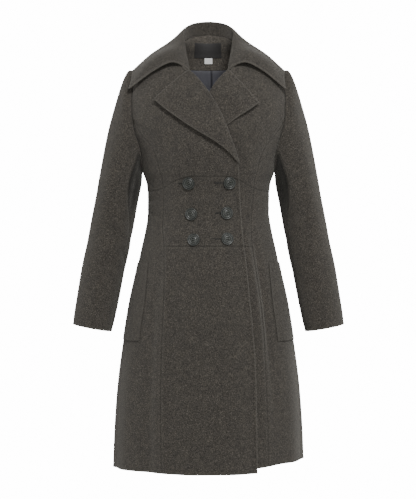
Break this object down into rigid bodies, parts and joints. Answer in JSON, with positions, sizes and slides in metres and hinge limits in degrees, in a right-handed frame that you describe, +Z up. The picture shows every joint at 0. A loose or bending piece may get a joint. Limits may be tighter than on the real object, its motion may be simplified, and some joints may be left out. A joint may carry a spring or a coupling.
{
  "type": "a-line coat",
  "caption": "Knee-length fitted and flared double-breasted wool coat with a wide collar, broad lapels, princess seams and side welt pockets, held open as if worn.",
  "frame": {"origin": "on the centre line, level with the outer part of the shoulder seams, inside the neck opening, where a wearer's neck or a hanger holds the coat", "axes": "+Z up to the collar, -Y toward the front, +X toward the wearer's left"},
  "size_m": [0.6574, 0.3541, 1.1002],
  "materials": {
    "wool": "brushed heathered wool, matt",
    "lining": "smooth satin lining",
    "label": "woven, matt",
    "tag": "woven, matt",
    "button": "semi-gloss"
  },
  "bodies": {
    "root": {"bodice_front_right": "wool", "bodice_side_right": "wool", "midriff_right": "wool", "skirt_front_right": "wool", "skirt_side_right": "wool", "pocket_welt_right": "wool", "side_back_right": "wool", "back_right": "wool", "top_sleeve_right": "wool", "under_sleeve_right": "wool", "lapel_right": "wool", "bodice_front_left": "wool", "bodice_side_left": "wool", "midriff_left": "wool", "skirt_front_left": "wool", "skirt_side_left": "wool", "pocket_welt_left": "wool", "side_back_left": "wool", "back_left": "wool", "top_sleeve_left": "wool", "under_sleeve_left": "wool", "lapel_left": "wool", "collar": "wool", "back_neck_facing": "wool", "back_lining": "lining", "neck_label": "label", "size_tag": "tag", "button_1": "button", "button_2": "button", "button_3": "button", "button_4": "button", "button_5": "button", "button_6": "button"}
  },
  "joints": []
}
